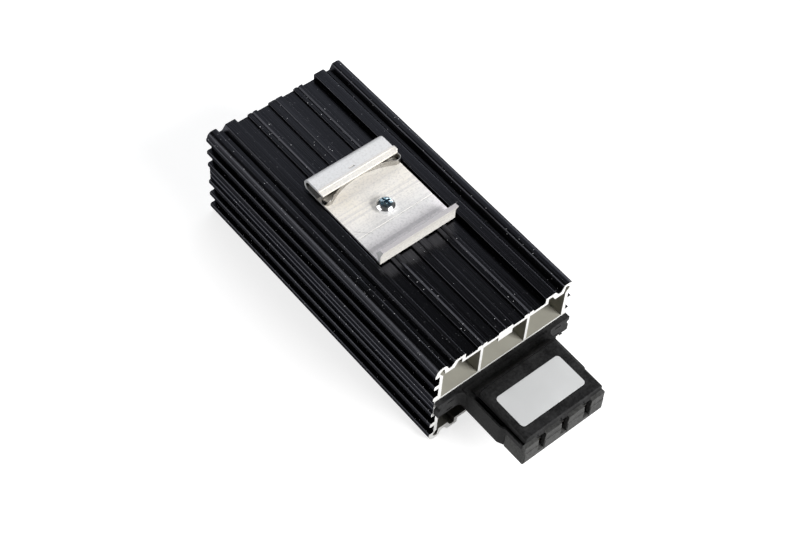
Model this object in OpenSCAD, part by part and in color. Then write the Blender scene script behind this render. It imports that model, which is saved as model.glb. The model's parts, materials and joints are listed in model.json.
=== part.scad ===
// Enclosure heater: an extruded heatsink with a PTC heating pack in its middle slot,
// a terminal connector on one end and a sprung clip for a 35 mm rail on top.
// +Z is up and +Y runs along the profile, away from the connector. Sizes are in millimetres.
// The origin lies under the middle of the whole length, on the surface that the heater rests on.

/* [Profile] */
// Length of the extruded profile
profile_len = 145; // [120:1:220]
// Width over the side ribs
profile_w = 70; // [69:1:80]
// Height over the corner beads
profile_h = 50; // [49:1:60]
// Thickness of the side walls
side_wall = 1.6; // [1.3:0.1:2.4]
// Thickness of the top and bottom walls
top_wall = 1.6; // [1.3:0.1:2.2]
// Thickness of the webs between the air channels
web_t = 1.3; // [1:0.1:2.4]
// Distance of each web from the middle
web_x = 11.8; // [10.5:0.1:13]
// Thickness of the two floors beside the heater slot
floor_t = 1.3; // [1:0.1:2]
// Thickness of the walls that guide the heating pack in the slot
guide_t = 1.5; // [1:0.1:2]
// Reach of the side ribs beyond the side walls
rib_reach = 2.3; // [1.6:0.1:3]
// Thickness of each side rib
rib_t = 2.6; // [1.8:0.1:2.8]
// Edge radius of the side ribs
rib_r = 0.8; // [0.4:0.1:0.85]
// Height of the first side rib above the middle
rib_first = 5.6; // [5:0.1:6.4]
// Distance of the top rib below the top of the corners
rib_drop = 3.8; // [3.4:0.1:5]
// Depth of the shallow band between the two middle ribs
mid_recess = 0.8; // [0.4:0.1:1.6]
// Distance of the two fine grooves in that band from its middle
line_z = 1.6; // [1:0.1:2.4]
// Width of the fine grooves
line_w = 0.8; // [0.4:0.1:1.2]
// Depth of the fine grooves
line_d = 0.4; // [0.2:0.05:0.6]
// Distance of the foot of each corner bead from the side of the profile
bead_inset = 6.5; // [6:0.1:7]
// Run of the bead's sloping inner flank
bead_run = 2.2; // [1.8:0.1:2.6]
// Edge radius on the inside of the corner beads
bead_r = 1.2; // [0.6:0.1:1.5]
// Radius of the outer corners
corner_r = 2.4; // [1.5:0.1:2.5]
// Set-back of the outer corners behind the top ribs
corner_set = 0.5; // [0.3:0.05:0.8]
// Drop from the corner beads to the face between the ridges
ridge_drop = 3.6; // [3.2:0.1:4.5]
// Height of the low ridges, which carry the clip
low_ridge_h = 1.2; // [0.8:0.1:2]
// Width of the low ridges over the webs
low_ridge_w = 4.8; // [3.4:0.1:6]
// Width of the groove along the middle of the low ridges
ridge_line_w = 1.4; // [0.6:0.1:2]
// Depth of that groove
ridge_line_d = 0.6; // [0.2:0.1:0.8]
// Height of the tall ridges on each side of the clip
tall_ridge_h = 3; // [2:0.1:3.2]
// Width of the tall ridges
tall_ridge_w = 5.2; // [4:0.1:6]
// Run of the tall ridges' sloping outer flank
flank_run = 1.6; // [1:0.1:1.8]
// Height of the valley between the tall ridges and the beads
valley_h = 0.5; // [0:0.1:1]
// Radius of the ridge edges
ridge_r = 0.5; // [0.2:0.1:0.7]
// Width of the middle ridge and of the screw rib under it
boss_w = 7.2; // [6:0.1:9]
// Depth of the screw rib below the top wall
boss_h = 2.6; // [1:0.1:4]
// Width of the drill line along the middle ridge
drill_line_w = 0.7; // [0.4:0.1:1.2]

/* [Rail clip] */
// Width of the rail that the clip grips
rail_w = 35; // [35]
// Width of the clip across the profile
clip_w = 38.2; // [34:0.2:39]
// Thickness of the clip's base plate
plate_t = 1.3; // [1:0.1:2]
// Distance of the screw from the outer face of the hook
screw_u = 20.2; // [17:0.1:24]
// Thickness of the hook's upright wall
hook_wall = 1.5; // [1.2:0.1:2]
// Height of the hook
hook_h = 8.6; // [8:0.1:12]
// Height at which the hook bends outwards
knee_h = 4.8; // [4.4:0.1:6]
// Outward lean of the hook's lip
hook_lean = 1.4; // [1:0.1:2.5]
// Width of the hook's top
hook_top = 2; // [1.6:0.1:2.6]
// Reach of the hook's nose over the rail
nose_reach = 1.4; // [1:0.1:2]
// Height of the nose's tip
nose_h = 4.4; // [4:0.1:4.6]
// Height of the slot under the nose
nose_gap = 2; // [1.5:0.1:2.4]
// Overlap of the channel's roof over the rail
roof_overlap = 0.3; // [0.2:0.1:1.5]
// Depth of the channel behind the roof's front edge
channel_depth = 11.9; // [10:0.1:14]
// Height of the channel
channel_h = 6.6; // [5:0.1:7.5]
// Thickness of the channel's roof
roof_t = 1.2; // [1:0.1:1.6]
// Width of the lowered lip along the roof's front edge
roof_lip = 2.4; // [1:0.1:4]
// Depth of the step behind the lip
lip_drop = 0.3; // [0.1:0.05:0.5]
// Distance of the shallow groove in the plate from the outer face of the hook
groove_u = 13.5; // [8:0.1:14]
// Width of the groove
groove_w = 0.6; // [0.3:0.1:1.5]
// Depth of the groove
groove_d = 0.15; // [0.1:0.05:0.4]
// Play of the clip between the tall ridges on each side
clip_play = 1.2; // [0.3:0.1:2]

/* [Clip spring] */
// Thickness of the leaf spring
spring_t = 0.4; // [0.3:0.05:0.6]
// Radius at the middle of its curled ends
spring_r = 2.1; // [1.6:0.1:2.4]
// Reach of the curled ends in front of the roof
spring_reach = 2.2; // [1.8:0.1:4]
// Tuck of the spring's middle under the roof
spring_tuck = 2.4; // [0.5:0.1:2.8]
// Length of the curled-back ends inside the channel
spring_leg = 6; // [3:0.1:8]
// Sideways shift of the spring in the channel
spring_shift = 0.5; // [-0.5:0.1:0.5]
// Room between the spring and the roof above it
spring_room = 1.2; // [0.2:0.1:1.6]
// Clearance of the spring above the plate
spring_gap = 0.1; // [0.05:0.05:0.2]

/* [Clip screw] */
// Diameter of the screw
screw_d = 4; // [3:0.5:5]
// Length of the screw under its head
screw_len = 8; // [8:1:10]
// Diameter of the screw head
head_d = 8; // [7:0.5:9]
// Height of the screw head
head_h = 3.6; // [2:0.1:4]
// Radial clearance of the screw in the clip's hole
hole_gap = 0.25; // [0.1:0.05:0.5]
// Radial clearance of the screw in the tapped hole
thread_gap = 0.05; // [0.02:0.01:0.1]

/* [Connector] */
// Width of the flange on the end of the profile
flange_w = 67.6; // [64:0.2:68]
// Thickness of the flange
flange_t = 2.4; // [2:0.1:4]
// Height of the flange above the middle of the slot
flange_top = 3.5; // [3.4:0.1:4.4]
// Depth of the flange below the middle of the slot
flange_drop = 5.2; // [4.5:0.1:6]
// Width of the neck behind the terminals
neck_w = 44; // [43.2:0.2:48]
// Distance from the profile's end to the front of the neck
neck_len = 26; // [24:0.5:27]
// Length of the tapered front ends of the neck's side walls
neck_taper = 2.6; // [1.5:0.1:4]
// Height of the neck's side walls above the middle of the slot
neck_top = 4; // [4:0.1:5.5]
// Depth of the neck below the middle of the slot
neck_drop = 7; // [6:0.1:9]
// Height of the hump behind the cover
hump_top = 8.4; // [7:0.1:8.5]
// Radius of the scoop that leads from the flange up to the hump
scoop_r = 6.2; // [5.5:0.1:8]
// Length of the two tongues in the slot of the profile
tongue_len = 12; // [6:0.5:20]
// Width of the two tongues
tongue_w = 5; // [3:0.5:8]
// Radius of the fillets between the flange and the neck
flange_fillet = 3; // [1:0.5:4]
// Height of the deck that carries the cover
deck_top = 3.9; // [3.6:0.1:4]
// Thickness of the deck
deck_t = 2.5; // [2:0.1:2.6]
// Thickness of the thin wall outside each side pocket
pocket_wall = 0.8; // [0.6:0.1:1]
// Depth of the side pockets
pocket_depth = 7; // [3:0.5:9]
// Distance from the profile's end to the side pockets
pocket_start = 8; // [6:0.5:12]
// Clearance between the connector's mouldings
part_gap = 0.15; // [0.1:0.05:0.3]

/* [Cover] */
// Width of the cover
cover_w = 39.2; // [36:0.2:40]
// Height of the cover's top above the middle of the slot
cover_top = 8.5; // [8.2:0.1:12]
// Distance from the profile's end to the back of the cover
cover_back = 9; // [8.8:0.1:12]
// Distance from the profile's end to the front of the cover
cover_front = 35.4; // [34:0.1:36]
// Wall thickness of the cover
cover_wall = 1.6; // [1.2:0.1:2]
// Radius of the cover's top edges
cover_r = 1.4; // [0.6:0.1:2]
// Height of the recessed band under the cover's front lip
lip_band = 0.8; // [0.4:0.1:2]
// Depth of the recessed band
lip_set_back = 0.9; // [0.5:0.1:1.2]
// Width of the blank label
label_w = 32.3; // [20:0.1:34]
// Length of the blank label
label_l = 16.1; // [10:0.1:17]
// Thickness of the label
label_t = 0.2; // [0.1:0.05:0.4]
// Corner radius of the label
label_r = 1.6; // [0.5:0.1:3]
// Sideways shift of the label
label_shift = -1.1; // [-1.5:0.1:1.5]
// Margin between the label and the cover's front edge
label_margin = 4.4; // [3:0.1:5]
// Width of the wedges on the cover's front, one above each wire slot
guide_w = 3.4; // [2:0.1:4]
// Height of the wedges
guide_h = 1.9; // [1:0.1:2.5]
// How far the wedges stand out of the cover's front
guide_out = 0.7; // [0.3:0.05:1]

/* [Terminal block] */
// Width of the terminal block
block_w = 41.5; // [40:0.1:43]
// Distance from the profile's end to the front of the block
block_front = 36.7; // [35.5:0.1:40]
// Depth of the block below the middle of the slot
block_drop = 7.5; // [7:0.1:10]
// Thickness of the block's floor
block_wall = 1.6; // [1.2:0.1:2.2]
// Thickness of the block's front wall
front_wall = 1.8; // [1.4:0.1:2.4]
// Radius of the block's upper rear edge
block_r = 1; // [0.5:0.5:3]
// Bevel of the block's front corners
block_bevel = 0.4; // [0.2:0.1:2]
// Spacing of the terminals
pole_pitch = 11.8; // [11:0.1:12.5]
// Width of each terminal chamber
chamber_w = 8.2; // [7.4:0.1:9]
// Width of the wire slots
wire_slot_w = 3.3; // [2.4:0.1:4]
// Width of the wire slots' funnel at the top
wire_funnel_w = 3.9; // [3.5:0.1:6]
// Depth of the funnels below the top of the block
wire_funnel_h = 2.8; // [2:0.1:5]
// Height of the sill under each wire slot
wire_sill = 2.2; // [1.6:0.1:2.6]

/* [Terminals] */
// Wall thickness of the clamp cages
cage_t = 0.7; // [0.5:0.05:1]
// Length of the clamp cages
cage_len = 6; // [5:0.1:7]
// Clearance of the cages in their chambers
cage_gap = 0.1; // [0.05:0.05:0.2]
// Thickness of the clamp springs
leaf_t = 0.5; // [0.3:0.05:0.6]
// Width of the leads and the clamp springs
lead_w = 5; // [3:0.1:5.5]
// Thickness of the leads
lead_t = 0.8; // [0.5:0.05:1]

/* [Heating pack] */
// Number of heating stones
stone_count = 4; // [4]
// Width of a heating stone
stone_w = 15; // [12:0.5:15.5]
// Length of a heating stone
stone_l = 24; // [12:0.5:24]
// Thickness of a heating stone
stone_t = 2.4; // [2:0.1:2.4]
// Clearance round each stone in its frame
stone_gap = 0.1; // [0.05:0.05:0.2]
// Thickness of the electrodes
electrode_t = 1.5; // [1:0.1:1.5]
// Thickness of the insulating sleeve
sleeve_t = 0.4; // [0.2:0.05:0.4]
// Width of the heating pack in its sleeve
pack_w = 18.8; // [17.8:0.1:19]
// Distance from the pack to the far end of the profile
pack_inset = 9; // [8:0.5:15]
// Length of the plug in the far end of the slot
plug_len = 6; // [4:0.5:7]
// Clearance of what slides into the slot
slide_gap = 0.1; // [0.05:0.05:0.2]

/* [Hidden] */
$fn = 48;
poles = 3;
cut = 1;
arc_n = 6;

// Places along Y and Z that everything is set out from
overall_len = profile_len + block_front;
near_y = block_front - overall_len / 2;
far_y = near_y + profile_len;
mid_y = (near_y + far_y) / 2;
mid_z = profile_h / 2;

// Section of the profile, measured from its middle
half_w = profile_w / 2;
rib_pitch = (profile_h / 2 - rib_drop - rib_first) / 2;
wall_out = half_w - rib_reach;
wall_in = wall_out - side_wall;
low_z = profile_h / 2 - ridge_drop;
ceiling_z = low_z - top_wall;
seat_z = low_z + low_ridge_h;
slot_h = stone_t + 2 * electrode_t + 2 * sleeve_t;
floor_z = slot_h / 2 + floor_t;
bead_x = half_w - bead_inset;
tall_x = clip_w / 2 + clip_play;
tall_z = low_z + tall_ridge_h;
rib_top = rib_first + 2 * rib_pitch;
guide_x = pack_w / 2 + slide_gap;

// Clip, measured from the outer face of its hook and from its seat on the ridges
clip_y = mid_y - screw_u;
clip_z = mid_z + seat_z;
nose_u = hook_wall + nose_reach;
roof_u = hook_wall + rail_w - roof_overlap;
clip_len = roof_u + channel_depth;
channel_gap = channel_h - roof_t - plate_t;
fold_u = clip_len - channel_h / 2;
spring_h = channel_gap - spring_gap - spring_room;
leg_x = clip_w / 2 + clip_play / 4;
bend_u = roof_u - spring_reach + spring_r;
peak_u = roof_u + spring_tuck;
bend_x = leg_x - spring_r;
bow_d = bend_u - peak_u;
bow_r = (bend_x * bend_x + bow_d * bow_d - spring_r * spring_r) / (2 * (spring_r - bow_d));
bow_a = asin(bend_x / (bow_r + spring_r));

// Connector, measured outwards from the profile's end and from the middle of the slot
deck_z = deck_top - deck_t;
block_top = deck_z - part_gap;
wall_top = deck_top - part_gap;
block_back = neck_len + part_gap;
cavity_w = 2 * pole_pitch + lead_w + 4;
chamber_z = block_wall - block_drop;
chamber_top = block_top - block_wall / 2;
chamber_front = block_front - front_wall;
cage_w = chamber_w - 2 * cage_gap;
cage_top = chamber_top - cage_gap;
cage_front = chamber_front - cage_gap;
lead_z = cage_top - cage_t - lead_t;
lead_end = cage_front - cage_len / 4;
tab_end = flange_t + 1.5;
ramp_start = tab_end + 6;
ramp_end = neck_len - 2;

// Heating pack
pack_start = near_y + 1;
pack_len = far_y - pack_inset - pack_start;
core_w = pack_w - 2 * sleeve_t;
stone_pitch = pack_len / stone_count;

function pole_x(i) = (i - (poles - 1) / 2) * pole_pitch;
function stone_y(i) = pack_start + (i + 0.5) * stone_pitch;
function at(c, r, a) = [c[0] + r * cos(a), c[1] + r * sin(a)];

// Rectangle with rounded upper corners, standing on its lower left corner
module ridge(w, h, r) {
    square([w, h - r]);
    translate([r, 0]) square([w - 2 * r, h]);
    for (x = [r, w - r]) translate([x, h - r]) circle(r);
}

// Rectangle with four rounded corners, centred
module round_plate(w, l, r) {
    square([w - 2 * r, l], center = true);
    square([w, l - 2 * r], center = true);
    for (x = [-1, 1], y = [-1, 1]) translate([x * (w / 2 - r), y * (l / 2 - r)]) circle(r);
}

// Stands an X-Z outline up and runs it along Y from y0 to y1, about the middle of the slot
module along_y(y0, y1) {
    translate([0, y1, mid_z]) rotate([90, 0, 0]) linear_extrude(y1 - y0) children();
}

// Runs an outline of outward distance and height across X, about the connector's own middle
module across_x(w) {
    translate([-w / 2, near_y, mid_z]) rotate([90, 0, 90]) linear_extrude(w) mirror([1, 0]) children();
}

// Block of the connector, from outward distance d0 to d1 and height z0 to z1
module connector_block(w, d0, d1, z0, z1) {
    translate([-w / 2, near_y - d1, mid_z + z0]) cube([w, d1 - d0, z1 - z0]);
}

// Points of an arc
function arc(c, r, a0, a1) = [for (i = [0:arc_n]) at(c, r, a0 + (a1 - a0) * i / arc_n)];
function flip_x(p) = [for (i = [len(p) - 1:-1:0]) [-p[i][0], p[i][1]]];
function flip_z(p) = [for (i = [len(p) - 1:-1:0]) [p[i][0], -p[i][1]]];

// V groove about c, half as wide as w to each side, along the line [1, 0] or down the side [0, -1]
function v_groove(c, w, d, dir) = [[c[0] - dir[0] * w / 2, c[1] - dir[1] * w / 2],
    [c[0] + dir[1] * d, c[1] - dir[0] * d], [c[0] + dir[0] * w / 2, c[1] + dir[1] * w / 2]];

// Low ridge over a web, with rounded edges and a groove along its middle
function low_ridge_points() = concat(
    [[web_x - low_ridge_w / 2, low_z]],
    arc([web_x - low_ridge_w / 2 + ridge_r, seat_z - ridge_r], ridge_r, 180, 90),
    v_groove([web_x, seat_z], ridge_line_w, ridge_line_d, [1, 0]),
    arc([web_x + low_ridge_w / 2 - ridge_r, seat_z - ridge_r], ridge_r, 90, 0),
    [[web_x + low_ridge_w / 2, low_z]]);

// Tip of the side rib at height z, with rounded edges from angle a0 to a1
function rib_points(z, a0, a1) = concat(arc([half_w - rib_r, z + rib_t / 2 - rib_r], rib_r, a0, 0),
    arc([half_w - rib_r, z - rib_t / 2 + rib_r], rib_r, 0, a1));

// Angle at which a rib's rounded edge meets a face that lies d behind its tip
function tip_angle(d) = acos(max(0, 1 - d / rib_r));

// Outer line of the profile's right upper quarter, from the drill line round to the middle of the side
function quarter_points() = concat(
    [[drill_line_w / 2, seat_z]],
    arc([boss_w / 2 - ridge_r, seat_z - ridge_r], ridge_r, 90, 0),
    [[boss_w / 2, low_z]],
    low_ridge_points(),
    [[tall_x, low_z]],
    arc([tall_x + ridge_r, tall_z - ridge_r], ridge_r, 180, 90),
    arc([tall_x + tall_ridge_w - ridge_r, tall_z - ridge_r], ridge_r, 90, 30),
    [[tall_x + tall_ridge_w + flank_run, low_z + valley_h], [bead_x, low_z + valley_h]],
    arc([bead_x + bead_run, profile_h / 2 - bead_r], bead_r, 155, 90),
    arc([half_w - corner_set - corner_r, profile_h / 2 - corner_r], corner_r, 90, 0),
    rib_points(rib_top, tip_angle(corner_set), -90),
    [[wall_out, rib_top - rib_t / 2], [wall_out, rib_first + rib_pitch + rib_t / 2]],
    rib_points(rib_first + rib_pitch, 90, -90),
    [[wall_out, rib_first + rib_pitch - rib_t / 2], [wall_out, rib_first + rib_t / 2]],
    rib_points(rib_first, 90, -tip_angle(mid_recess)),
    [[half_w - mid_recess, rib_first - rib_t / 2]],
    v_groove([half_w - mid_recess, line_z], line_w, line_d, [0, -1]));

module profile_outline() {
    right = concat(quarter_points(), flip_z(quarter_points()));
    drill = seat_z - drill_line_w / 2;
    polygon(concat([[0, drill]], right, [[0, -drill]], flip_x(right)));
}

// Upper air channels: the side ones reach up into the tall ridges and the corners,
// and the middle one has the rib that takes the screw
module channel_outlines() {
    side_x = web_x + web_t / 2;
    mid_x = web_x - web_t / 2;
    corner_x = half_w - corner_set - top_wall;
    corner_z = profile_h / 2 - top_wall;
    nook = corner_r / 2;
    for (m = [0, 1]) mirror([m, 0]) polygon([[side_x, floor_z], [wall_in, floor_z],
        [wall_in, rib_top - rib_t * 0.7], [corner_x - nook / 3, rib_top], [corner_x, corner_z - nook],
        [corner_x - nook, corner_z], [bead_x + bead_run, corner_z], [bead_x + top_wall, ceiling_z],
        [tall_x + tall_ridge_w, ceiling_z], [tall_x + tall_ridge_w - top_wall, tall_z - top_wall],
        [tall_x + top_wall, tall_z - top_wall], [tall_x + top_wall, ceiling_z], [side_x, ceiling_z]]);
    polygon([[-mid_x, floor_z], [mid_x, floor_z], [mid_x, ceiling_z], [boss_w / 2, ceiling_z],
        [boss_w / 2, ceiling_z - boss_h], [-boss_w / 2, ceiling_z - boss_h], [-boss_w / 2, ceiling_z],
        [-mid_x, ceiling_z]]);
}

// Middle slot, parted by the two guide walls
module slot_outlines() {
    side_x = guide_x + guide_t;
    square([2 * guide_x, slot_h], center = true);
    for (m = [0, 1]) mirror([m, 0]) translate([side_x, -slot_h / 2]) square([wall_in - side_x, slot_h]);
}

module heatsink_profile() {
    color("#1b1a20") difference() {
        along_y(near_y, far_y) difference() {
            profile_outline();
            channel_outlines();
            mirror([0, 1]) channel_outlines();
            slot_outlines();
        }
        translate([0, mid_y, mid_z + ceiling_z - boss_h - cut])
            cylinder(r = screw_d / 2 + thread_gap, h = boss_h + top_wall + low_ridge_h + 2 * cut);
    }
}

// Hook with a leaning lip, base plate and the block of the channel
module clip_outline() {
    polygon([[0, 0], [0, knee_h], [-hook_lean, hook_h], [hook_top - hook_lean, hook_h],
        [nose_u, nose_h], [hook_wall, plate_t + nose_gap], [hook_wall, plate_t],
        [groove_u, plate_t], [groove_u, plate_t - groove_d], [groove_u + groove_w, plate_t - groove_d],
        [groove_u + groove_w, plate_t], [roof_u, plate_t], [roof_u, channel_h - lip_drop],
        [roof_u + roof_lip, channel_h - lip_drop], [roof_u + roof_lip, channel_h],
        [clip_len, channel_h], [clip_len, 0]]);
}

// What the rounded back leaves of the channel's block
module fold_outline() {
    difference() {
        translate([fold_u, -cut]) square([channel_h, channel_h + 2 * cut]);
        translate([fold_u, channel_h / 2]) circle(d = channel_h);
    }
}

module rail_clip() {
    color("#d9d8d6") difference() {
        translate([-clip_w / 2, clip_y, clip_z]) rotate([90, 0, 90]) linear_extrude(clip_w) clip_outline();
        translate([-clip_w / 2 - cut, clip_y, clip_z]) rotate([90, 0, 90]) linear_extrude(clip_w + 2 * cut) {
            fold_outline();
            translate([roof_u - cut, plate_t]) square([fold_u - roof_u + cut, channel_gap]);
            translate([fold_u, plate_t + channel_gap / 2]) circle(d = channel_gap);
        }
        translate([0, mid_y, clip_z - cut]) cylinder(r = screw_d / 2 + hole_gap, h = plate_t + 2 * cut);
    }
}

// Plan of half the spring, offset by k: a curled-back end in the channel, its bend and half the bow
function spring_side(k) = concat(
    [[bend_x - spring_leg, bend_u + spring_r + k]],
    [for (i = [0:18]) at([bend_x, bend_u], spring_r + k, 90 - i * (180 + bow_a) / 18)],
    [for (i = [1:12]) at([0, peak_u - bow_r], bow_r - k, 90 - bow_a * (1 - i / 12))]);

function flipped(p) = [for (i = [len(p) - 2:-1:0]) [-p[i][0], p[i][1]]];
function backwards(p) = [for (i = [len(p) - 1:-1:0]) p[i]];

module spring_plan() {
    inner = spring_side(-spring_t / 2);
    outer = spring_side(spring_t / 2);
    polygon(concat(outer, flipped(outer), backwards(concat(inner, flipped(inner)))));
}

module clip_spring() {
    color("#c9c8c4") translate([spring_shift, clip_y, clip_z + plate_t + spring_gap])
        linear_extrude(spring_h) spring_plan();
}

module clip_screw() {
    rim_h = head_h * 0.5;
    dome_h = head_h - rim_h;
    dome_r = (head_d * head_d / 4 + dome_h * dome_h) / (2 * dome_h);
    color("#b9c2cc") translate([0, mid_y, clip_z + plate_t]) difference() {
        union() {
            translate([0, 0, -screw_len]) cylinder(d = screw_d, h = screw_len);
            intersection() {
                translate([0, 0, head_h - dome_r]) sphere(dome_r);
                cylinder(d = head_d, h = head_h);
            }
        }
        for (a = [0, 90]) rotate(a) translate([-head_d * 0.29, -head_d * 0.06, head_h * 0.5])
            cube([head_d * 0.58, head_d * 0.12, head_h]);
    }
}

// Flange outline with a notch in each end
module flange_outline() {
    window_x = (flange_w + neck_w) / 4;
    difference() {
        translate([-flange_w / 2, -flange_drop]) square([flange_w, flange_top + flange_drop]);
        for (s = [-1, 1]) translate([s * (flange_w / 2 + 0.6), 0]) circle(r = 1.6);
        for (s = [-1, 1], z = [1.1, -3.9]) translate([s * window_x, z]) square([3, 0.8], center = true);
    }
}

// Hump with its scoop, as an outline of outward distance and height
module hump_outline() {
    difference() {
        translate([flange_t, 0]) square([cover_back - part_gap - flange_t, hump_top]);
        translate([flange_t, flange_top + scoop_r]) circle(scoop_r);
    }
}

module flange_fillets() {
    for (s = [0, 1]) mirror([s, 0, 0]) translate([neck_w / 2, near_y - flange_t, mid_z - flange_drop])
        linear_extrude(flange_drop + flange_top) difference() {
            translate([-cut, -flange_fillet]) square([flange_fillet + cut, flange_fillet + flange_t / 2]);
            translate([flange_fillet, -flange_fillet]) circle(flange_fillet);
        }
}

// Neck whose side walls taper to the width of the terminal block
module neck_body() {
    shoulder = neck_taper - neck_len;
    translate([0, near_y, mid_z - neck_drop]) linear_extrude(neck_drop + neck_top)
        polygon([[-neck_w / 2, -flange_t], [-neck_w / 2, shoulder], [-block_w / 2, -neck_len],
            [block_w / 2, -neck_len], [neck_w / 2, shoulder], [neck_w / 2, -flange_t]]);
}

// Narrow pocket beside the cover, with a slanted front end
module side_pocket() {
    inner = cover_w / 2 + part_gap;
    outer = neck_w / 2 - pocket_wall;
    front = neck_len - pocket_wall;
    translate([0, near_y, mid_z + neck_top - pocket_depth]) linear_extrude(pocket_depth + cut)
        polygon([[inner, -pocket_start], [outer, -pocket_start],
            [outer, -front + (outer - inner)], [inner, -front]]);
}

module connector_base() {
    inner_w = cover_w + 2 * part_gap;
    tongue_x = wall_in - slide_gap - tongue_w;
    color("#26252a") difference() {
        union() {
            along_y(near_y - flange_t, near_y) flange_outline();
            flange_fillets();
            neck_body();
            across_x(cover_w) hump_outline();
            connector_block(block_w, neck_len - cut, chamber_front - part_gap, deck_z, deck_top);
            across_x(block_w) difference() {
                translate([neck_len - cut, deck_z - block_r]) square([block_r + cut, block_r + deck_t / 2]);
                translate([block_back + block_r, block_top - block_r]) circle(block_r + part_gap);
                translate([block_back + block_r, -neck_drop]) square(2 * neck_drop);
            }
            for (s = [0, 1]) mirror([s, 0, 0])
                translate([tongue_x, near_y - cut, mid_z - slot_h / 2 + slide_gap])
                    cube([tongue_w, tongue_len + cut, slot_h - 2 * slide_gap]);
        }
        connector_block(cavity_w, -cut, ramp_end, -slot_h / 2, slot_h / 2 - 0.3);
        connector_block(cavity_w, ramp_start, neck_len + block_r + cut, -slot_h / 2, block_top);
        connector_block(inner_w, cover_back - part_gap, neck_len + cut, deck_top, hump_top + cut);
        // Room for the clamps, which a longer neck would reach
        for (i = [0:poles - 1]) translate([pole_x(i), 0, 0])
            connector_block(chamber_w, cage_front - cage_len - cage_gap, chamber_front,
                chamber_z, chamber_top);
        for (s = [0, 1]) mirror([s, 0, 0]) side_pocket();
    }
}

module cover_outline() {
    translate([-cover_w / 2, deck_top]) ridge(cover_w, cover_top - deck_top, cover_r);
}

// Wedges that lead the wires into their slots
module wire_guides() {
    foot = deck_top + lip_band;
    for (i = [0:poles - 1]) translate([pole_x(i), 0, 0]) across_x(guide_w)
        polygon([[cover_front - cover_wall / 2, foot], [cover_front + guide_out, foot],
            [cover_front, foot + guide_h], [cover_front - cover_wall / 2, foot + guide_h]]);
}

module connector_cover() {
    color("#232227") union() {
        difference() {
            along_y(near_y - cover_front, near_y - cover_back) cover_outline();
            connector_block(cover_w - 2 * cover_wall, cover_back + cover_wall,
                cover_front - lip_set_back - cover_wall, deck_top - cut, cover_top - cover_wall);
            connector_block(cover_w + 2 * cut, cover_front - lip_set_back, cover_front + cut,
                deck_top - cut, deck_top + lip_band);
        }
        wire_guides();
    }
}

module rating_label() {
    label_y = near_y - cover_front + label_margin + label_l / 2;
    color("#d5d5d6") translate([label_shift, label_y, mid_z + cover_top])
        linear_extrude(label_t) round_plate(label_w, label_l, label_r);
}

// Wire slot with a funnel at its top, in the block's front wall
module wire_slot_outline() {
    top = wall_top + cut;
    waist = wall_top - wire_funnel_h;
    sill = wire_sill - block_drop;
    polygon([[-wire_funnel_w / 2, top], [-wire_funnel_w / 2, wall_top], [-wire_slot_w / 2, waist],
        [-wire_slot_w / 2, sill], [wire_slot_w / 2, sill], [wire_slot_w / 2, waist],
        [wire_funnel_w / 2, wall_top], [wire_funnel_w / 2, top]]);
}

// Plan of the block from outward distance d0 to its front, with bevelled corners
module block_plan(d0) {
    polygon([[-block_w / 2, -d0], [-block_w / 2, block_bevel - block_front],
        [block_bevel - block_w / 2, -block_front], [block_w / 2 - block_bevel, -block_front],
        [block_w / 2, block_bevel - block_front], [block_w / 2, -d0]]);
}

module terminal_block() {
    color("#4a4a4c") difference() {
        union() {
            translate([0, near_y, mid_z - block_drop]) linear_extrude(block_drop + block_top)
                block_plan(block_back);
            translate([0, near_y, mid_z - block_drop]) linear_extrude(block_drop + wall_top)
                block_plan(chamber_front);
        }
        across_x(block_w + 2 * cut) difference() {
            translate([block_back - cut, block_top - block_r]) square([block_r + cut, block_r + cut]);
            translate([block_back + block_r, block_top - block_r]) circle(block_r);
        }
        for (i = [0:poles - 1]) translate([pole_x(i), 0, 0]) {
            connector_block(chamber_w, block_back - cut, chamber_front, chamber_z, chamber_top);
            along_y(near_y - block_front - cut, near_y - chamber_front + cut) wire_slot_outline();
        }
    }
}

module clamp_cage(i) {
    color("#c8b98a") translate([pole_x(i), 0, 0]) difference() {
        connector_block(cage_w, cage_front - cage_len, cage_front, chamber_z, cage_top);
        connector_block(cage_w - 2 * cage_t, cage_front - cage_len - cut, cage_front + cut,
            chamber_z + cage_t, cage_top - cage_t);
    }
}

// Bent leaf that presses the wire up against the lead
module clamp_spring(i) {
    foot = chamber_z + cage_t;
    back = cage_front - cage_len + cage_gap;
    front = cage_front - cage_gap;
    tip = front - cage_len / 3;
    color("#b8bcc0") translate([pole_x(i), 0, 0]) across_x(lead_w)
        polygon([[front, foot], [back, foot], [tip, lead_z - cage_gap], [tip, lead_z - cage_gap - 1.5 * leaf_t],
            [back + 2 * leaf_t, foot + leaf_t], [front, foot + leaf_t]]);
}

// Flat lead from x0 to x1 that starts at height z0, ramps to the clamps' height and ends in a cage
module lead(x0, x1, d0, z0) {
    translate([(x0 + x1) / 2, 0, 0]) across_x(x1 - x0)
        polygon([[d0, z0], [ramp_start, z0], [ramp_end, lead_z], [lead_end, lead_z],
            [lead_end, lead_z + lead_t], [ramp_end, lead_z + lead_t],
            [ramp_start, z0 + lead_t], [d0, z0 + lead_t]]);
}

module live_lead() {
    color("#c77a4a") lead(pole_x(0) - lead_w / 2, pole_x(0) + lead_w / 2, tab_end, stone_t / 2);
}

module neutral_lead() {
    color("#c77a4a")
        lead(pole_x(1) - lead_w / 2, pole_x(1) + lead_w / 2, tab_end, -stone_t / 2 - electrode_t);
}

// The earth strap runs beside the pack, on the floor of the slot
module earth_strap() {
    color("#b8a03c") lead(max(pole_x(2) - lead_w / 2, guide_x + guide_t + slide_gap),
        pole_x(2) + lead_w / 2, -profile_len / 4, -slot_h / 2);
}

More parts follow.
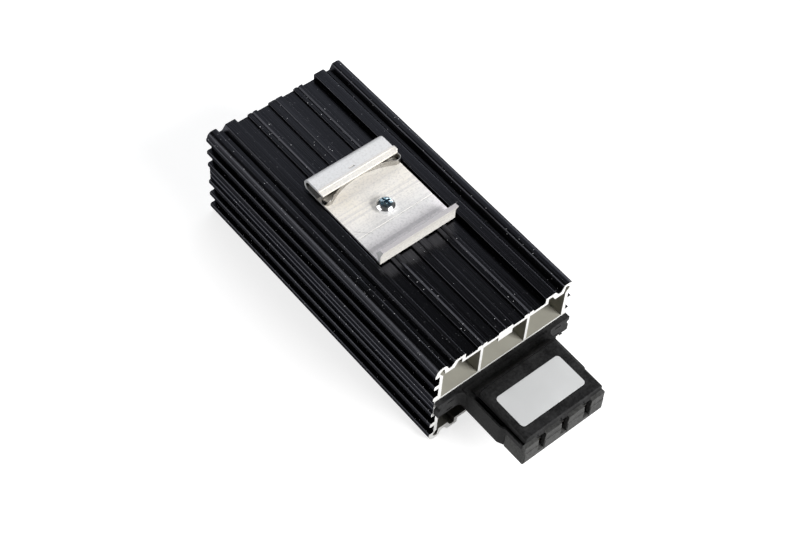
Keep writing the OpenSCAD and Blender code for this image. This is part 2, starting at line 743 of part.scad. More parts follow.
// Electrode strip with a tab that reaches out of the profile and sideways to x0
module electrode_plan(x0) {
    translate([-core_w / 2, near_y - tab_end]) square([core_w, pack_start + pack_len - near_y + tab_end]);
    translate([x0, near_y - tab_end]) square([core_w / 2 - x0, tab_end - flange_t / 2]);
}

module upper_electrode() {
    color("#c4c7ca") translate([0, 0, mid_z + stone_t / 2]) linear_extrude(electrode_t)
        electrode_plan(pole_x(0) - lead_w / 2);
}

module lower_electrode() {
    color("#c4c7ca") translate([0, 0, mid_z - stone_t / 2 - electrode_t]) linear_extrude(electrode_t)
        electrode_plan(-core_w / 2);
}

module insulating_sleeve() {
    color("#b5762a") translate([0, pack_start + pack_len / 2, mid_z]) difference() {
        cube([pack_w, pack_len, slot_h], center = true);
        cube([core_w, pack_len + 2 * cut, slot_h - 2 * sleeve_t], center = true);
    }
}

module stone_frame() {
    color("#e6dfcf") difference() {
        translate([-core_w / 2, pack_start, mid_z - stone_t / 2]) cube([core_w, pack_len, stone_t]);
        for (i = [0:stone_count - 1]) translate([0, stone_y(i), mid_z])
            cube([stone_w + 2 * stone_gap, stone_l + 2 * stone_gap, stone_t + 2 * cut], center = true);
    }
}

module ptc_stone(i) {
    color("#8d8f92") translate([0, stone_y(i), mid_z]) cube([stone_w, stone_l, stone_t], center = true);
}

module rear_plug() {
    color("#2c2b30") along_y(far_y - plug_len, far_y)
        square([2 * (guide_x - slide_gap), slot_h - 2 * slide_gap], center = true);
}

heatsink_profile();
rail_clip();
clip_spring();
clip_screw();
connector_base();
connector_cover();
rating_label();
terminal_block();
for (i = [0:poles - 1]) {
    clamp_cage(i);
    clamp_spring(i);
}
live_lead();
neutral_lead();
earth_strap();
upper_electrode();
lower_electrode();
insulating_sleeve();
stone_frame();
for (i = [0:stone_count - 1]) {
    ptc_stone(i);
}
rear_plug();
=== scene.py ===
import json
import math

import bmesh
import bpy
from mathutils import Matrix, Vector

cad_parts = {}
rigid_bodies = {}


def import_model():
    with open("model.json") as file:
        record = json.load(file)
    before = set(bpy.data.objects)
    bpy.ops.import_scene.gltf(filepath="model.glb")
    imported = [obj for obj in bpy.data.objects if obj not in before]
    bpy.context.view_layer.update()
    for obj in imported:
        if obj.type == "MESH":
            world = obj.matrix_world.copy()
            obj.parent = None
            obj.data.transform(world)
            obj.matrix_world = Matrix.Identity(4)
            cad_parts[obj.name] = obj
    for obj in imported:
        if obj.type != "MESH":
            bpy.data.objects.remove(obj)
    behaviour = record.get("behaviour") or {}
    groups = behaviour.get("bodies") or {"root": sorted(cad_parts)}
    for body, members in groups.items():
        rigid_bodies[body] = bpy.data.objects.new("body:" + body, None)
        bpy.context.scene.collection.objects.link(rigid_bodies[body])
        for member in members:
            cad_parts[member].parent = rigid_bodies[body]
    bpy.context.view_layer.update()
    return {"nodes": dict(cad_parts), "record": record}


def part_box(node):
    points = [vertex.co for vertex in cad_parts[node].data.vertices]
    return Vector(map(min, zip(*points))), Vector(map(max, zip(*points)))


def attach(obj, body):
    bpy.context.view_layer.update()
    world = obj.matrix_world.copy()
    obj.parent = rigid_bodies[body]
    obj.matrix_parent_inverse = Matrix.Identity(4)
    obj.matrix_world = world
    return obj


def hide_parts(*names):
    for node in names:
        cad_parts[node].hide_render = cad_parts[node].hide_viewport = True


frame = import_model()

MM = 0.001


def node_box(name):
    lo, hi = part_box(name)
    return Vector(lo), Vector(hi)


# Places taken from the CAD solids, in metres
PROFILE_LO, PROFILE_HI = node_box("heatsink_profile")
CLIP_HI = node_box("rail_clip")[1]
BLOCK_LO = node_box("terminal_block")[0]
COVER_LO, COVER_HI = node_box("connector_cover")
SCREW_LO, SCREW_HI = node_box("clip_screw")
SCREW_Y = (SCREW_LO.y + SCREW_HI.y) / 2
NEAR_Y = PROFILE_LO.y
MID_Z = (PROFILE_LO.z + PROFILE_HI.z) / 2
HOOK_Z = CLIP_HI.z

# Hollows of the profile: distances across from its middle and up or down from its middle
CHANNEL_ACROSS, CHANNEL_UP = 0.0319, 0.0206
RIDGE_HOLLOW_ACROSS, RIDGE_HOLLOW_UP = (0.0210, 0.0255), 0.0234
CORNER_HOLLOW_ACROSS, CORNER_HOLLOW_UP = (0.0299, 0.0336), (0.0203, 0.0239)

# Places on the clip: top of the roof, the inside of the fold with painted shade, the hook's crest with
# painted shade, the cream tint and the plate behind the hook with painted light
ROOF_Z, ROOF_DEPTH = 0.0542, 0.0010
FOLD_Y, FOLD_Z = 0.0378, (0.0488, 0.0531)
CREST_Y, CREST_DEPTH = 0.003, 0.0004
CREAM_Y, PLATE_LIGHT_Y = (0.010, 0.024), (0.012, 0.003)

# Punch mark in the roof
PUNCH_LO = Vector((-0.0021, 0.0386, ROOF_Z - 0.0004))
PUNCH_HI = Vector((0.0006, 0.0394, ROOF_Z + 0.0004))

# Scratch on the plate: where it starts and ends, its run, its waver and half its width
SCRATCH_X, SCRATCH_SLOPE, SCRATCH_BACK = (-0.0178, -0.0122), -0.95, 0.0017
SCRATCH_WAVER, SCRATCH_HALF = 0.0016, 0.00011

# Small end of the roof's lip, which stands out of the clip's side
LIP_END_LO = Vector((CLIP_HI.x - 0.0003, 0.0352, 0.0529))
LIP_END_HI = Vector((CLIP_HI.x + 0.0008, 0.0377, 0.0541))
LIP_END_EDGE = 0.00025

# Raised pads on the connector's front
PADS = 4
PAD_MIDDLE = (PADS - 1) / 2
PAD_SINK, PAD_UP = 0.00002, 0.0040

# Screw head: where its bluish middle ends and the painted highlight on its rim begins
SCREW_BLUE_R, SCREW_HIGHLIGHT_R = 0.0024, 0.0031

# Painted shade in the joint under the cover: full up to the first distance, gone at the second
SEAM_SHADE_FULL, SEAM_SHADE_GONE = 0.0004, 0.0008

# Broken edges: points closer than this are one, faces this flat are one, and steps across an edge
MERGE_DIST, FLAT_DEGREES, EDGE_STEPS = 2e-6, 0.5, 2

# Floor: half its side, its height, its own grey and how white the camera sees it
FLOOR_HALF, FLOOR_Z = 3.0, -0.0003
FLOOR_GREY, FLOOR_GLOW = 0.45, 0.72


# Node helpers

def tree(name):
    """New material with its node tree and main shader."""
    m = bpy.data.materials.new(name)
    m.use_nodes = True
    return m, m.node_tree, m.node_tree.nodes["Principled BSDF"]


def put(nt, n, key, value):
    """Sets a node's input to a value or links a socket to it."""
    s = n.inputs[key]
    if isinstance(value, bpy.types.NodeSocket):
        nt.links.new(value, s)
    else:
        s.default_value = value


def add(nt, kind, ins=None, **props):
    """New node; ins maps input names or numbers to values or sockets."""
    n = nt.nodes.new(kind)
    for k, v in props.items():
        setattr(n, k, v)
    for k, v in (ins or {}).items():
        put(nt, n, k, v)
    return n


def calc(nt, op, a, b=0.0, c=0.0):
    return add(nt, "ShaderNodeMath", {0: a, 1: b, 2: c}, operation=op).outputs[0]


def times(nt, a, b):
    return calc(nt, "MULTIPLY", a, b)


def minus(nt, a, b):
    return calc(nt, "SUBTRACT", a, b)


def unsigned(nt, a):
    """A value without its sign."""
    return calc(nt, "ABSOLUTE", a)


def above(nt, value, limit):
    return calc(nt, "GREATER_THAN", value, limit)


def below(nt, value, limit):
    return calc(nt, "LESS_THAN", value, limit)


def within(nt, value, lo, hi):
    return times(nt, above(nt, value, lo), below(nt, value, hi))


def both(nt, *masks):
    """Mask where all the given masks hold."""
    out = masks[0]
    for m in masks[1:]:
        out = times(nt, out, m)
    return out


def either(nt, *masks):
    """Mask where any of the given masks holds."""
    out = masks[0]
    for m in masks[1:]:
        out = calc(nt, "MAXIMUM", out, m)
    return out


def blend(nt, fac, a, b):
    """Colour a, turning into colour b as fac goes from 0 to 1."""
    n = add(nt, "ShaderNodeMix", data_type="RGBA")
    put(nt, n, 0, fac)
    put(nt, n, 6, a)
    put(nt, n, 7, b)
    return n.outputs[2]


def ramp(nt, value, lo, hi, to_lo=0.0, to_hi=1.0):
    return add(nt, "ShaderNodeMapRange", {0: value, 1: lo, 2: hi, 3: to_lo, 4: to_hi}).outputs[0]


def coords(nt, scale=(1, 1, 1)):
    c = add(nt, "ShaderNodeTexCoord").outputs["Object"]
    return add(nt, "ShaderNodeMapping", {"Vector": c, "Scale": scale}).outputs[0]


def noise(nt, scale, detail=2.0, rough=0.5, stretch=(1, 1, 1)):
    return add(nt, "ShaderNodeTexNoise", {"Vector": coords(nt, stretch), "Scale": scale,
                                          "Detail": detail, "Roughness": rough}).outputs["Fac"]


def streaks(nt, detail, rough, per_metre):
    """Noise with its own count of waves per metre along each axis, for drawn and sawn lines."""
    return noise(nt, 1.0, detail, rough, per_metre)


def specks(nt, cell, size, share):
    """Mask of round specks, some fainter: their spacing, their radius and the share of cells with one."""
    v = add(nt, "ShaderNodeTexVoronoi", {"Vector": coords(nt), "Scale": 1 / cell})
    pick = add(nt, "ShaderNodeSeparateColor", {0: v.outputs["Color"]}).outputs
    reach = times(nt, pick[1], size / cell)
    spot = both(nt, below(nt, v.outputs["Distance"], reach), below(nt, pick[0], share))
    return both(nt, spot, ramp(nt, pick[2], 0.0, 1.0, 0.1, 1.0))


def bump(nt, height, dist, normal=None):
    n = add(nt, "ShaderNodeBump", {"Height": height, "Distance": dist})
    if normal is not None:
        put(nt, n, "Normal", normal)
    return n.outputs[0]


def xyz(nt, socket):
    return add(nt, "ShaderNodeSeparateXYZ", {0: socket}).outputs


def place(nt):
    return xyz(nt, add(nt, "ShaderNodeTexCoord").outputs["Object"])


def facing(nt):
    return xyz(nt, add(nt, "ShaderNodeNewGeometry").outputs["Normal"])


def rgb(r, g, b):
    return (r, g, b, 1.0)


# Finishes

def anodised_black():
    """Profile: black skin with drawn lines and dust, warm grey air channels with painted shade in the lower
    ones, bare metal on the sawn ends.
    """
    skin_dark, skin_light = rgb(0.020, 0.0205, 0.0235), rgb(0.033, 0.0335, 0.038)
    skin_band = rgb(0.046, 0.047, 0.054)
    haze_grey, dust_grey = rgb(0.16, 0.16, 0.165), rgb(0.55, 0.55, 0.56)
    warm_dark, warm_light = rgb(0.30, 0.29, 0.247), rgb(0.37, 0.36, 0.31)
    warm_shade = rgb(0.035, 0.034, 0.03)
    bare_dark, bare_light = rgb(0.74, 0.735, 0.715), rgb(0.88, 0.875, 0.86)
    haze_share = 0.4
    m, nt, p = tree("anodised_black")
    pos, nor = place(nt), facing(nt)
    across = unsigned(nt, pos[0])
    up = unsigned(nt, minus(nt, pos[2], MID_Z))
    end = above(nt, unsigned(nt, nor[1]), 0.6)
    channel = both(nt, below(nt, across, CHANNEL_ACROSS), below(nt, up, CHANNEL_UP))
    ridge_hollow = both(nt, within(nt, across, *RIDGE_HOLLOW_ACROSS), below(nt, up, RIDGE_HOLLOW_UP))
    corner_hollow = both(nt, within(nt, across, *CORNER_HOLLOW_ACROSS), within(nt, up, *CORNER_HOLLOW_UP))
    inside = either(nt, channel, ridge_hollow, corner_hollow)
    die = streaks(nt, 3.0, 0.6, (2600, 9, 2600))
    band = streaks(nt, 2.0, 0.5, (420, 3, 420))
    cloud = noise(nt, 60.0, 3.0)
    black = blend(nt, ramp(nt, die, 0.35, 0.7), skin_dark, skin_light)
    black = blend(nt, ramp(nt, band, 0.55, 0.75, 0.0, 0.5), black, skin_band)
    top = ramp(nt, nor[2], 0.2, 0.6)
    haze = times(nt, both(nt, specks(nt, 0.0008, 0.00012, 0.8), top), haze_share)
    dust = both(nt, specks(nt, 0.0014, 0.00020, 0.9), ramp(nt, nor[2], -0.2, 0.4, 0.12, 1.0))
    black = blend(nt, haze, black, haze_grey)
    black = blend(nt, dust, black, dust_grey)
    warm = blend(nt, ramp(nt, cloud, 0.3, 0.7), warm_dark, warm_light)
    # Painted shade: the warm grey inside the lower channels is darkened, as if in shade.
    lower_channel_shade = below(nt, pos[2], MID_Z)
    warm = blend(nt, times(nt, lower_channel_shade, 0.75), warm, warm_shade)
    saw = streaks(nt, 3.0, 0.6, (300, 300, 3000))
    bare = blend(nt, ramp(nt, saw, 0.35, 0.65), bare_dark, bare_light)
    put(nt, p, "Base Color", blend(nt, end, blend(nt, inside, black, warm), bare))
    skin = minus(nt, 1.0, either(nt, end, inside, dust, haze))
    put(nt, p, "Metallic", calc(nt, "MULTIPLY_ADD", end, 0.25, skin))
    p.inputs["Specular Tint"].default_value = rgb(0.40, 0.40, 0.40)
    rough = ramp(nt, die, 0.3, 0.7, 0.20, 0.30)
    put(nt, p, "Roughness", calc(nt, "MAXIMUM", rough, times(nt, either(nt, end, inside), 0.6)))
    p.inputs["Specular IOR Level"].default_value = 0.07
    lines = calc(nt, "ADD", times(nt, die, 0.5), band)
    drawn = bump(nt, lines, 0.00005)
    put(nt, p, "Normal", bump(nt, times(nt, saw, end), 0.00008, drawn))
    return m


def bare_aluminium():
    """Clip: drawn lines along X, a faint cream tint, pits, scratch and punch mark; painted shade on the
    roof, crest, fold and punch mark, painted light on front faces, cut ends and the plate behind the hook.
    """
    metal_dark, metal_light = rgb(0.74, 0.73, 0.725), rgb(0.85, 0.84, 0.83)
    cream_tint, plate_painted_light = rgb(0.83, 0.77, 0.66), rgb(0.93, 0.89, 0.92)
    roof_painted_shade, crest_painted_shade = rgb(0.66, 0.67, 0.69), rgb(0.38, 0.36, 0.37)
    front_painted_light, cut_end_painted_light = rgb(0.88, 0.84, 0.75), rgb(0.74, 0.76, 0.79)
    line_grey, mottle_grey = rgb(0.50, 0.49, 0.50), rgb(0.50, 0.49, 0.49)
    fold_shade, marks_and_punch_shade = rgb(0.10, 0.10, 0.10), rgb(0.12, 0.115, 0.115)
    m, nt, p = tree("bare_aluminium")
    pos, nor = place(nt), facing(nt)
    fine = streaks(nt, 3.0, 0.65, (8, 3200, 3200))
    broad = streaks(nt, 2.0, 0.5, (3, 520, 520))
    cloud = noise(nt, 40.0, 3.0)
    col = blend(nt, ramp(nt, fine, 0.3, 0.7), metal_dark, metal_light)
    cream = both(nt, ramp(nt, cloud, 0.35, 0.65, 0.25, 1.0), ramp(nt, pos[1], *CREAM_Y))
    col = blend(nt, times(nt, cream, 0.7), col, cream_tint)
    # Painted shade: the top of the roof is greyed darker than the rest of the clip.
    roof = both(nt, above(nt, pos[2], ROOF_Z - ROOF_DEPTH), above(nt, pos[1], FOLD_Y))
    col = blend(nt, times(nt, roof, 0.8), col, roof_painted_shade)
    # Painted light: faces turned to the front get a lighter cream tone.
    front = below(nt, nor[1], -0.6)
    col = blend(nt, times(nt, front, 0.6), col, front_painted_light)
    # Painted light: the plate's up faces behind the hook are lifted to a pale lilac, strongest next to the
    # hook where its shadow falls.
    plate_light_mask = both(nt, ramp(nt, pos[1], *PLATE_LIGHT_Y), ramp(nt, nor[2], 0.3, 0.7))
    col = blend(nt, times(nt, plate_light_mask, 0.8), col, plate_painted_light)
    # Painted shade: the up face of the hook's crest is darkened.
    crest = both(nt, above(nt, pos[2], HOOK_Z - CREST_DEPTH), below(nt, pos[1], CREST_Y))
    crest = both(nt, crest, above(nt, nor[2], 0.5))
    col = blend(nt, times(nt, crest, 0.85), col, crest_painted_shade)
    col = blend(nt, ramp(nt, broad, 0.53, 0.64, 0.0, 0.4), col, line_grey)
    mottle = noise(nt, 1000.0, 3.0, 0.7)
    col = blend(nt, ramp(nt, mottle, 0.48, 0.62, 0.0, 0.4), col, mottle_grey)
    # Painted light: the cut ends across X get their own cooler tone in place of the light on them.
    cut = above(nt, unsigned(nt, nor[0]), 0.8)
    col = blend(nt, times(nt, cut, 0.6), col, cut_end_painted_light)
    fold = both(nt, above(nt, pos[1], FOLD_Y), within(nt, pos[2], *FOLD_Z))
    fold = both(nt, fold, below(nt, nor[1], 0.3), minus(nt, 1.0, cut))
    col = blend(nt, times(nt, fold, 0.85), col, fold_shade)
    waver = noise(nt, 260.0, 2.0)
    track = calc(nt, "ADD", times(nt, pos[0], SCRATCH_SLOPE), times(nt, waver, SCRATCH_WAVER))
    off = unsigned(nt, minus(nt, pos[1], minus(nt, track, SCRATCH_BACK)))
    scratch = both(nt, below(nt, off, SCRATCH_HALF), within(nt, pos[0], *SCRATCH_X))
    pits = specks(nt, 0.0011, 0.00017, 0.8)
    # Scratch and pits are real dark marks; the punch mark's recess is darkened as painted shade.
    mark = both(nt, *[within(nt, pos[i], PUNCH_LO[i], PUNCH_HI[i]) for i in range(3)])
    dark = either(nt, times(nt, scratch, 0.55), times(nt, pits, 0.6), mark)
    put(nt, p, "Base Color", blend(nt, dark, col, marks_and_punch_shade))
    p.inputs["Metallic"].default_value = 0.18
    put(nt, p, "Roughness", ramp(nt, fine, 0.3, 0.7, 0.44, 0.60))
    height = minus(nt, calc(nt, "ADD", fine, broad), dark)
    put(nt, p, "Normal", bump(nt, height, 0.00005))
    return m


def plain_metal(name, dark, light, rough):
    """Metal with a fine grain between two tones."""
    m, nt, p = tree(name)
    grain = noise(nt, 900.0, 3.0, 0.6)
    put(nt, p, "Base Color", blend(nt, ramp(nt, grain, 0.3, 0.7), rgb(*dark), rgb(*light)))
    p.inputs["Metallic"].default_value = 1.0
    put(nt, p, "Roughness", ramp(nt, grain, 0.3, 0.7, rough - 0.06, rough + 0.08))
    put(nt, p, "Normal", bump(nt, grain, 0.00002))
    return m


def zinc_screw():
    """Pan head: painted highlight on the rim, bluish and darker towards the cross."""
    blue_dark, blue_light, rim_painted_highlight = rgb(0.10, 0.16, 0.22), rgb(0.55, 0.70, 0.76), rgb(0.86, 0.87, 0.88)
    m, nt, p = tree("zinc_screw")
    pos = place(nt)
    dx, dy = pos[0], minus(nt, pos[1], SCREW_Y)
    radius = calc(nt, "SQRT", calc(nt, "ADD", times(nt, dx, dx), times(nt, dy, dy)))
    grain = noise(nt, 900.0, 3.0, 0.6)
    blue = blend(nt, ramp(nt, grain, 0.35, 0.65), blue_dark, blue_light)
    # Painted highlight: the head's outer rim is turned bright.
    put(nt, p, "Base Color", blend(nt, ramp(nt, radius, SCREW_BLUE_R, SCREW_HIGHLIGHT_R), blue, rim_painted_highlight))
    p.inputs["Metallic"].default_value = 1.0
    put(nt, p, "Roughness", ramp(nt, grain, 0.3, 0.7, 0.13, 0.22))
    put(nt, p, "Normal", bump(nt, grain, 0.00004))
    return m


def moulded(name, dark, light, rough=0.45, grain=0.00003, spec=0.4, lint=0.3, seam_shade=False):
    """Moulded plastic or ceramic: fine grain and some lint; where told, painted shade darkens the joint
    under the cover.
    """
    m, nt, p = tree(name)
    fine = noise(nt, 2600.0, 2.0, 0.6)
    cloud = noise(nt, 120.0, 3.0)
    tone = calc(nt, "MULTIPLY_ADD", noise(nt, 1000.0, 3.0, 0.7), 0.6, times(nt, cloud, 0.4))
    col = blend(nt, ramp(nt, tone, 0.38, 0.62), rgb(*dark), rgb(*light))
    # Painted shade: a near-black band along the joint under the cover, where the gap falls in shade.
    if seam_shade:
        pos = place(nt)
        side = unsigned(nt, minus(nt, unsigned(nt, pos[0]), COVER_HI.x))
        high = unsigned(nt, minus(nt, pos[2], COVER_LO.z))
        joint_shade = both(nt, *[ramp(nt, d, SEAM_SHADE_FULL, SEAM_SHADE_GONE, 1.0, 0.0) for d in (side, high)])
        joint_shade = both(nt, joint_shade, below(nt, pos[1], COVER_HI.y))
        col = blend(nt, joint_shade, col, rgb(0.001, 0.001, 0.001))
    lint_pale = tuple(0.12 + v for v in light)
    col = blend(nt, times(nt, specks(nt, 0.003, 0.0002, 0.3), lint), col, rgb(*lint_pale))
    put(nt, p, "Base Color", col)
    put(nt, p, "Roughness", ramp(nt, cloud, 0.3, 0.7, rough - 0.05, rough + 0.08))
    p.inputs["Specular IOR Level"].default_value = spec
    put(nt, p, "Normal", bump(nt, fine, grain))
    return m


def silver_film():
    """Bare label: satin silver film."""
    film_dark, film_light = rgb(0.53, 0.535, 0.535), rgb(0.58, 0.585, 0.585)
    m, nt, p = tree("silver_film")
    fine = noise(nt, 1800.0, 2.0, 0.6)
    cloud = noise(nt, 70.0, 2.0)
    put(nt, p, "Base Color", blend(nt, ramp(nt, cloud, 0.3, 0.7), film_dark, film_light))
    p.inputs["Metallic"].default_value = 0.15
    put(nt, p, "Roughness", ramp(nt, fine, 0.3, 0.7, 0.42, 0.52))
    put(nt, p, "Normal", bump(nt, fine, 0.00001))
    return m


FINISH = {
    "profile_black": anodised_black(),
    "clip_bare": bare_aluminium(),
    "spring_steel": plain_metal("spring_steel", (0.34, 0.33, 0.31), (0.48, 0.465, 0.44), 0.27),
    "screw_zinc": zinc_screw(),
    # Black plastic carries the painted shade along the joint under the cover.
    "plastic_black": moulded("plastic_black", (0.008, 0.008, 0.0082), (0.026, 0.026, 0.0265), spec=0.04,
                             lint=0.5, seam_shade=True),
    "plastic_grey": moulded("plastic_grey", (0.036, 0.036, 0.0353), (0.080, 0.080, 0.0784), 0.55, 0.00005,
                            spec=0.06),
    "label_silver": silver_film(),
    "clamp_metal": plain_metal("clamp_metal", (0.10, 0.10, 0.095), (0.17, 0.165, 0.155), 0.45),
    "leaf_steel": plain_metal("leaf_steel", (0.45, 0.46, 0.47), (0.6, 0.6, 0.6), 0.3),
    "lead_metal": plain_metal("lead_metal", (0.5, 0.36, 0.18), (0.66, 0.5, 0.28), 0.35),
    "electrode_metal": plain_metal("electrode_metal", (0.6, 0.6, 0.6), (0.76, 0.76, 0.76), 0.4),
    "sleeve_film": moulded("sleeve_film", (0.30, 0.13, 0.02), (0.42, 0.2, 0.04), 0.35),
    "frame_ceramic": moulded("frame_ceramic", (0.6, 0.56, 0.48), (0.72, 0.68, 0.6), 0.6),
    "stone_ceramic": moulded("stone_ceramic", (0.2, 0.2, 0.21), (0.3, 0.3, 0.31), 0.6),
}
SLOT_OF = {s["node"]: s["material_slot"] for s in frame["record"]["subparts"]}
EVERYTHING = bpy.context.scene.collection.objects


# Pieces

def as_piece(ob, slot, node=None):
    """Gives a finished object its finish, lets it ride and, where told, stand for a CAD node."""
    ob.data.materials.clear()
    ob.data.materials.append(FINISH[slot])
    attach(ob, "root")
    if node:
        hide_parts(node)


def applied(ob):
    """Turns an object's modifiers into plain mesh."""
    dg = bpy.context.evaluated_depsgraph_get()
    me = bpy.data.meshes.new_from_object(ob.evaluated_get(dg))
    ob.modifiers.clear()
    ob.data = me


def softened(node, width, angle=32, cutter=None):
    """Copy of a CAD node with its sharp edges broken, shown in the node's place; width is in millimetres."""
    bm = bmesh.new()
    bm.from_mesh(frame["nodes"][node].data)
    bmesh.ops.remove_doubles(bm, verts=bm.verts, dist=MERGE_DIST)
    bmesh.ops.dissolve_limit(bm, angle_limit=math.radians(FLAT_DEGREES), verts=bm.verts, edges=bm.edges)
    me = bpy.data.meshes.new(node + "_soft")
    bm.to_mesh(me)
    bm.free()
    for f in me.polygons:
        f.use_smooth = True
    ob = bpy.data.objects.new(node + "_soft", me)
    EVERYTHING.link(ob)
    if cutter:
        cut = ob.modifiers.new("mark", "BOOLEAN")
        cut.operation = "DIFFERENCE"
        cut.object = cutter
    bev = ob.modifiers.new("edges", "BEVEL")
    bev.width = width * MM
    bev.segments = EDGE_STEPS
    bev.limit_method = "ANGLE"
    bev.angle_limit = math.radians(angle)
    bev.use_clamp_overlap = True
    wn = ob.modifiers.new("normals", "WEIGHTED_NORMAL")
    wn.keep_sharp = True
    wn.weight = 80
    applied(ob)
    as_piece(ob, SLOT_OF[node], node)


def bar(name, lo, hi, edge=0.0):
    """Small bar from corner lo to corner hi, with its edges broken where told."""
    bm = bmesh.new()
    bmesh.ops.create_cube(bm, size=1.0)
    for v in bm.verts:
        v.co = Vector([(lo[i] + hi[i]) / 2 + v.co[i] * (hi[i] - lo[i]) for i in range(3)])
    if edge:
        bmesh.ops.bevel(bm, geom=bm.edges[:], offset=edge, segments=EDGE_STEPS, profile=0.5,
                        affect="EDGES")
    me = bpy.data.meshes.new(name)
    bm.to_mesh(me)
    bm.free()
    ob = bpy.data.objects.new(name, me)
    EVERYTHING.link(ob)
    return ob


def pad_tree():
    """Geometry tree: a row of raised pads on the connector's front, the outer two narrower."""
    nt = bpy.data.node_groups.new("front_pads", "GeometryNodeTree")
    io = nt.interface
    io.new_socket("Geometry", in_out="INPUT", socket_type="NodeSocketGeometry")
    for name, value in (("Pitch", 0.0118), ("Width", 0.0083), ("Height", 0.0064), ("Rise", 0.0003),
                        ("Outer share", 0.82), ("Outer shift", 0.0008), ("Taper", 0.96)):
        s = io.new_socket(name, in_out="INPUT", socket_type="NodeSocketFloat")
        s.default_value = value
    io.new_socket("Middle", in_out="INPUT", socket_type="NodeSocketVector")
    io.new_socket("Finish", in_out="INPUT", socket_type="NodeSocketMaterial")
    io.new_socket("Geometry", in_out="OUTPUT", socket_type="NodeSocketGeometry")
    gin = nt.nodes.new("NodeGroupInput").outputs
    out = nt.nodes.new("NodeGroupOutput")
    start = add(nt, "ShaderNodeCombineXYZ", {0: times(nt, gin["Pitch"], -PAD_MIDDLE)}).outputs[0]
    start = add(nt, "ShaderNodeVectorMath", {0: start, 1: gin["Middle"]}, operation="ADD").outputs[0]
    step = add(nt, "ShaderNodeCombineXYZ", {0: gin["Pitch"]}).outputs[0]
    row = add(nt, "GeometryNodeMeshLine", {"Count": PADS, "Start Location": start, "Offset": step},
              mode="OFFSET")
    face = add(nt, "GeometryNodeMeshGrid", {"Size X": gin["Width"], "Size Y": gin["Height"],
                                            "Vertices X": 2, "Vertices Y": 2})
    rise = add(nt, "GeometryNodeExtrudeMesh", {"Mesh": face.outputs["Mesh"], "Offset Scale": gin["Rise"]},
               mode="FACES")
    crown = add(nt, "GeometryNodeScaleElements", {"Geometry": rise.outputs["Mesh"],
                                                  "Selection": rise.outputs["Top"],
                                                  "Scale": gin["Taper"]})
    pad = add(nt, "GeometryNodeTransform", {"Geometry": crown.outputs[0], "Rotation": (math.pi / 2, 0, 0)})
    index = add(nt, "GeometryNodeInputIndex").outputs[0]
    outer = above(nt, unsigned(nt, minus(nt, index, PAD_MIDDLE)), PAD_MIDDLE - 0.5)
    wide = calc(nt, "ADD", 1.0, times(nt, outer, minus(nt, gin["Outer share"], 1.0)))
    size = add(nt, "ShaderNodeCombineXYZ", {0: wide, 1: 1.0, 2: 1.0}).outputs[0]
    side = calc(nt, "SIGN", minus(nt, PAD_MIDDLE, index))
    inward = times(nt, times(nt, side, outer), gin["Outer shift"])
    shift = add(nt, "ShaderNodeCombineXYZ", {0: inward}).outputs[0]
    moved = add(nt, "GeometryNodeSetPosition", {"Geometry": row.outputs["Mesh"], "Offset": shift})
    pads = add(nt, "GeometryNodeInstanceOnPoints", {"Points": moved.outputs[0], "Instance": pad.outputs[0],
                                                    "Scale": size})
    real = add(nt, "GeometryNodeRealizeInstances", {0: pads.outputs[0]})
    done = add(nt, "GeometryNodeSetMaterial", {"Geometry": real.outputs[0], "Material": gin["Finish"]})
    nt.links.new(done.outputs[0], out.inputs[0])
    return nt


def front_pads():
    """Row of raised pads on the connector's front."""
    ob = bpy.data.objects.new("front_pads", bpy.data.meshes.new("front_pads"))
    EVERYTHING.link(ob)
    mod = ob.modifiers.new("pads", "NODES")
    nt = pad_tree()
    mod.node_group = nt
    key = {s.name: s.identifier for s in nt.interface.items_tree if s.in_out == "INPUT"}
    mod[key["Middle"]] = (0.0, BLOCK_LO.y + PAD_SINK, BLOCK_LO.z + PAD_UP)
    mod[key["Finish"]] = FINISH["plastic_grey"]
    applied(ob)
    as_piece(ob, "plastic_grey")


for name, ob in frame["nodes"].items():
    ob.data.materials.clear()
    ob.data.materials.append(FINISH[SLOT_OF[name]])

punch = bar("punch", PUNCH_LO, PUNCH_HI)
softened("heatsink_profile", 0.2)
softened("rail_clip", 0.12, cutter=punch)
softened("clip_spring", 0.06)
softened("clip_screw", 0.15, 25)
softened("connector_base", 0.15)
softened("connector_cover", 0.22)
softened("rating_label", 0.05)
softened("terminal_block", 0.15)
front_pads()
bpy.data.objects.remove(punch)
as_piece(bar("roof_lip_end", LIP_END_LO, LIP_END_HI, LIP_END_EDGE), "clip_bare")


# Stage, light and camera

def white_floor():
    """Square pale floor that the camera and reflections see as white, and that keeps the shadow."""
    me = bpy.data.meshes.new("floor")
    corners = [(x * FLOOR_HALF, y * FLOOR_HALF, FLOOR_Z) for x, y in ((-1, -1), (1, -1), (1, 1), (-1, 1))]
    me.from_pydata(corners, [], [(0, 1, 2, 3)])
    ob = bpy.data.objects.new("floor", me)
    EVERYTHING.link(ob)
    m, nt, p = tree("floor_white")
    p.inputs["Base Color"].default_value = rgb(FLOOR_GREY, FLOOR_GREY, FLOOR_GREY)
    p.inputs["Roughness"].default_value = 0.9
    p.inputs["Specular IOR Level"].default_value = 0.0
    ray = add(nt, "ShaderNodeLightPath").outputs
    seen = either(nt, ray["Is Camera Ray"], ray["Is Glossy Ray"], ray["Is Transmission Ray"])
    p.inputs["Emission Color"].default_value = rgb(1, 1, 1)
    put(nt, p, "Emission Strength", times(nt, seen, FLOOR_GLOW))
    me.materials.append(m)


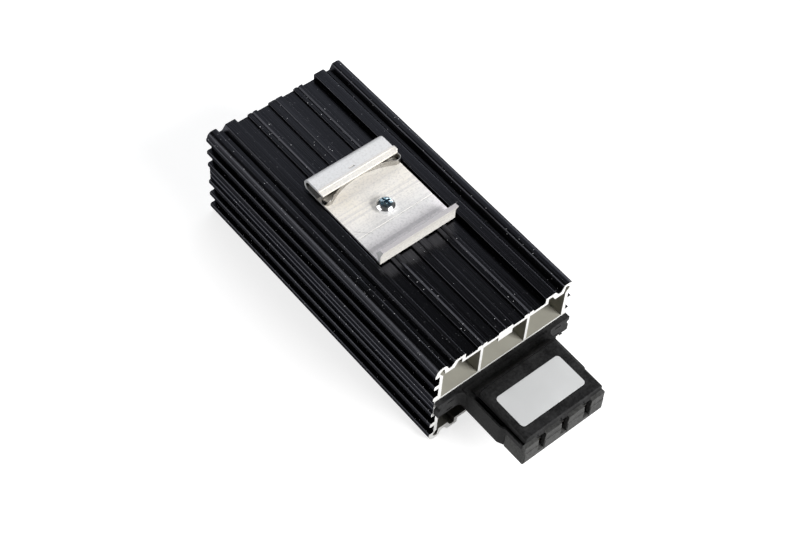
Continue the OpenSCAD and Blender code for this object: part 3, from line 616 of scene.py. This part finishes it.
def lamp(name, where, aim, size, radiance, colour=(1, 1, 1)):
    """Soft box of the given width and height whose face has the given brightness."""
    d = bpy.data.lights.new(name, "AREA")
    d.shape = "RECTANGLE"
    d.size, d.size_y = size
    d.energy = radiance * math.pi * size[0] * size[1]
    d.color = colour
    ob = bpy.data.objects.new(name, d)
    ob.location = where
    ob.rotation_euler = (Vector(aim) - Vector(where)).to_track_quat("-Z", "Y").to_euler()
    EVERYTHING.link(ob)


def world(strength):
    """Even white light from all sides."""
    w = bpy.data.worlds.new("studio")
    bpy.context.scene.world = w
    w.use_nodes = True
    bg = w.node_tree.nodes["Background"]
    bg.inputs["Color"].default_value = rgb(1, 1, 1)
    bg.inputs["Strength"].default_value = strength


def photo_camera():
    """Camera fitted to the photo: its axes, and its place in millimetres, Y from the profile's near end."""
    sensor_mm, photo_px, focal_px = 36.0, 800, 1709.03
    right = Vector((0.77118615, -0.63482685, 0.04761089))
    down = Vector((-0.49081837, -0.64053888, -0.59059908))
    ahead = Vector((0.40542478, 0.43209353, -0.80555939))
    eye = Vector((-281.353, -238.510 + NEAR_Y / MM, 579.849))
    cam = bpy.data.objects.new("camera", bpy.data.cameras.new("camera"))
    EVERYTHING.link(cam)
    cam.data.sensor_width = sensor_mm
    cam.data.lens = focal_px / photo_px * sensor_mm
    stand = Matrix((right, -down, -ahead)).transposed().to_4x4()
    stand.translation = eye * MM
    cam.matrix_world = stand
    bpy.context.scene.camera = cam


white_floor()
world(strength=0.08)
lamp("front", where=(0.40, -1.08, 0.76), aim=(0, 0, 0.02), size=(0.8, 0.7), radiance=17.4)
lamp("back", where=(0.28, 0.30, 0.28), aim=(0, 0.02, 0.04), size=(0.7, 0.36), radiance=1.0,
     colour=(0.90, 0.94, 1.0))
lamp("rim", where=(0.75, 0.40, 0.32), aim=(0, 0.02, 0.04), size=(0.5, 0.2), radiance=6.0)
lamp("left", where=(-0.80, 0.38, 0.42), aim=(0, 0.02, 0.03), size=(0.8, 0.6), radiance=3.2)
photo_camera()
bpy.context.scene.view_settings.view_transform = "Standard"
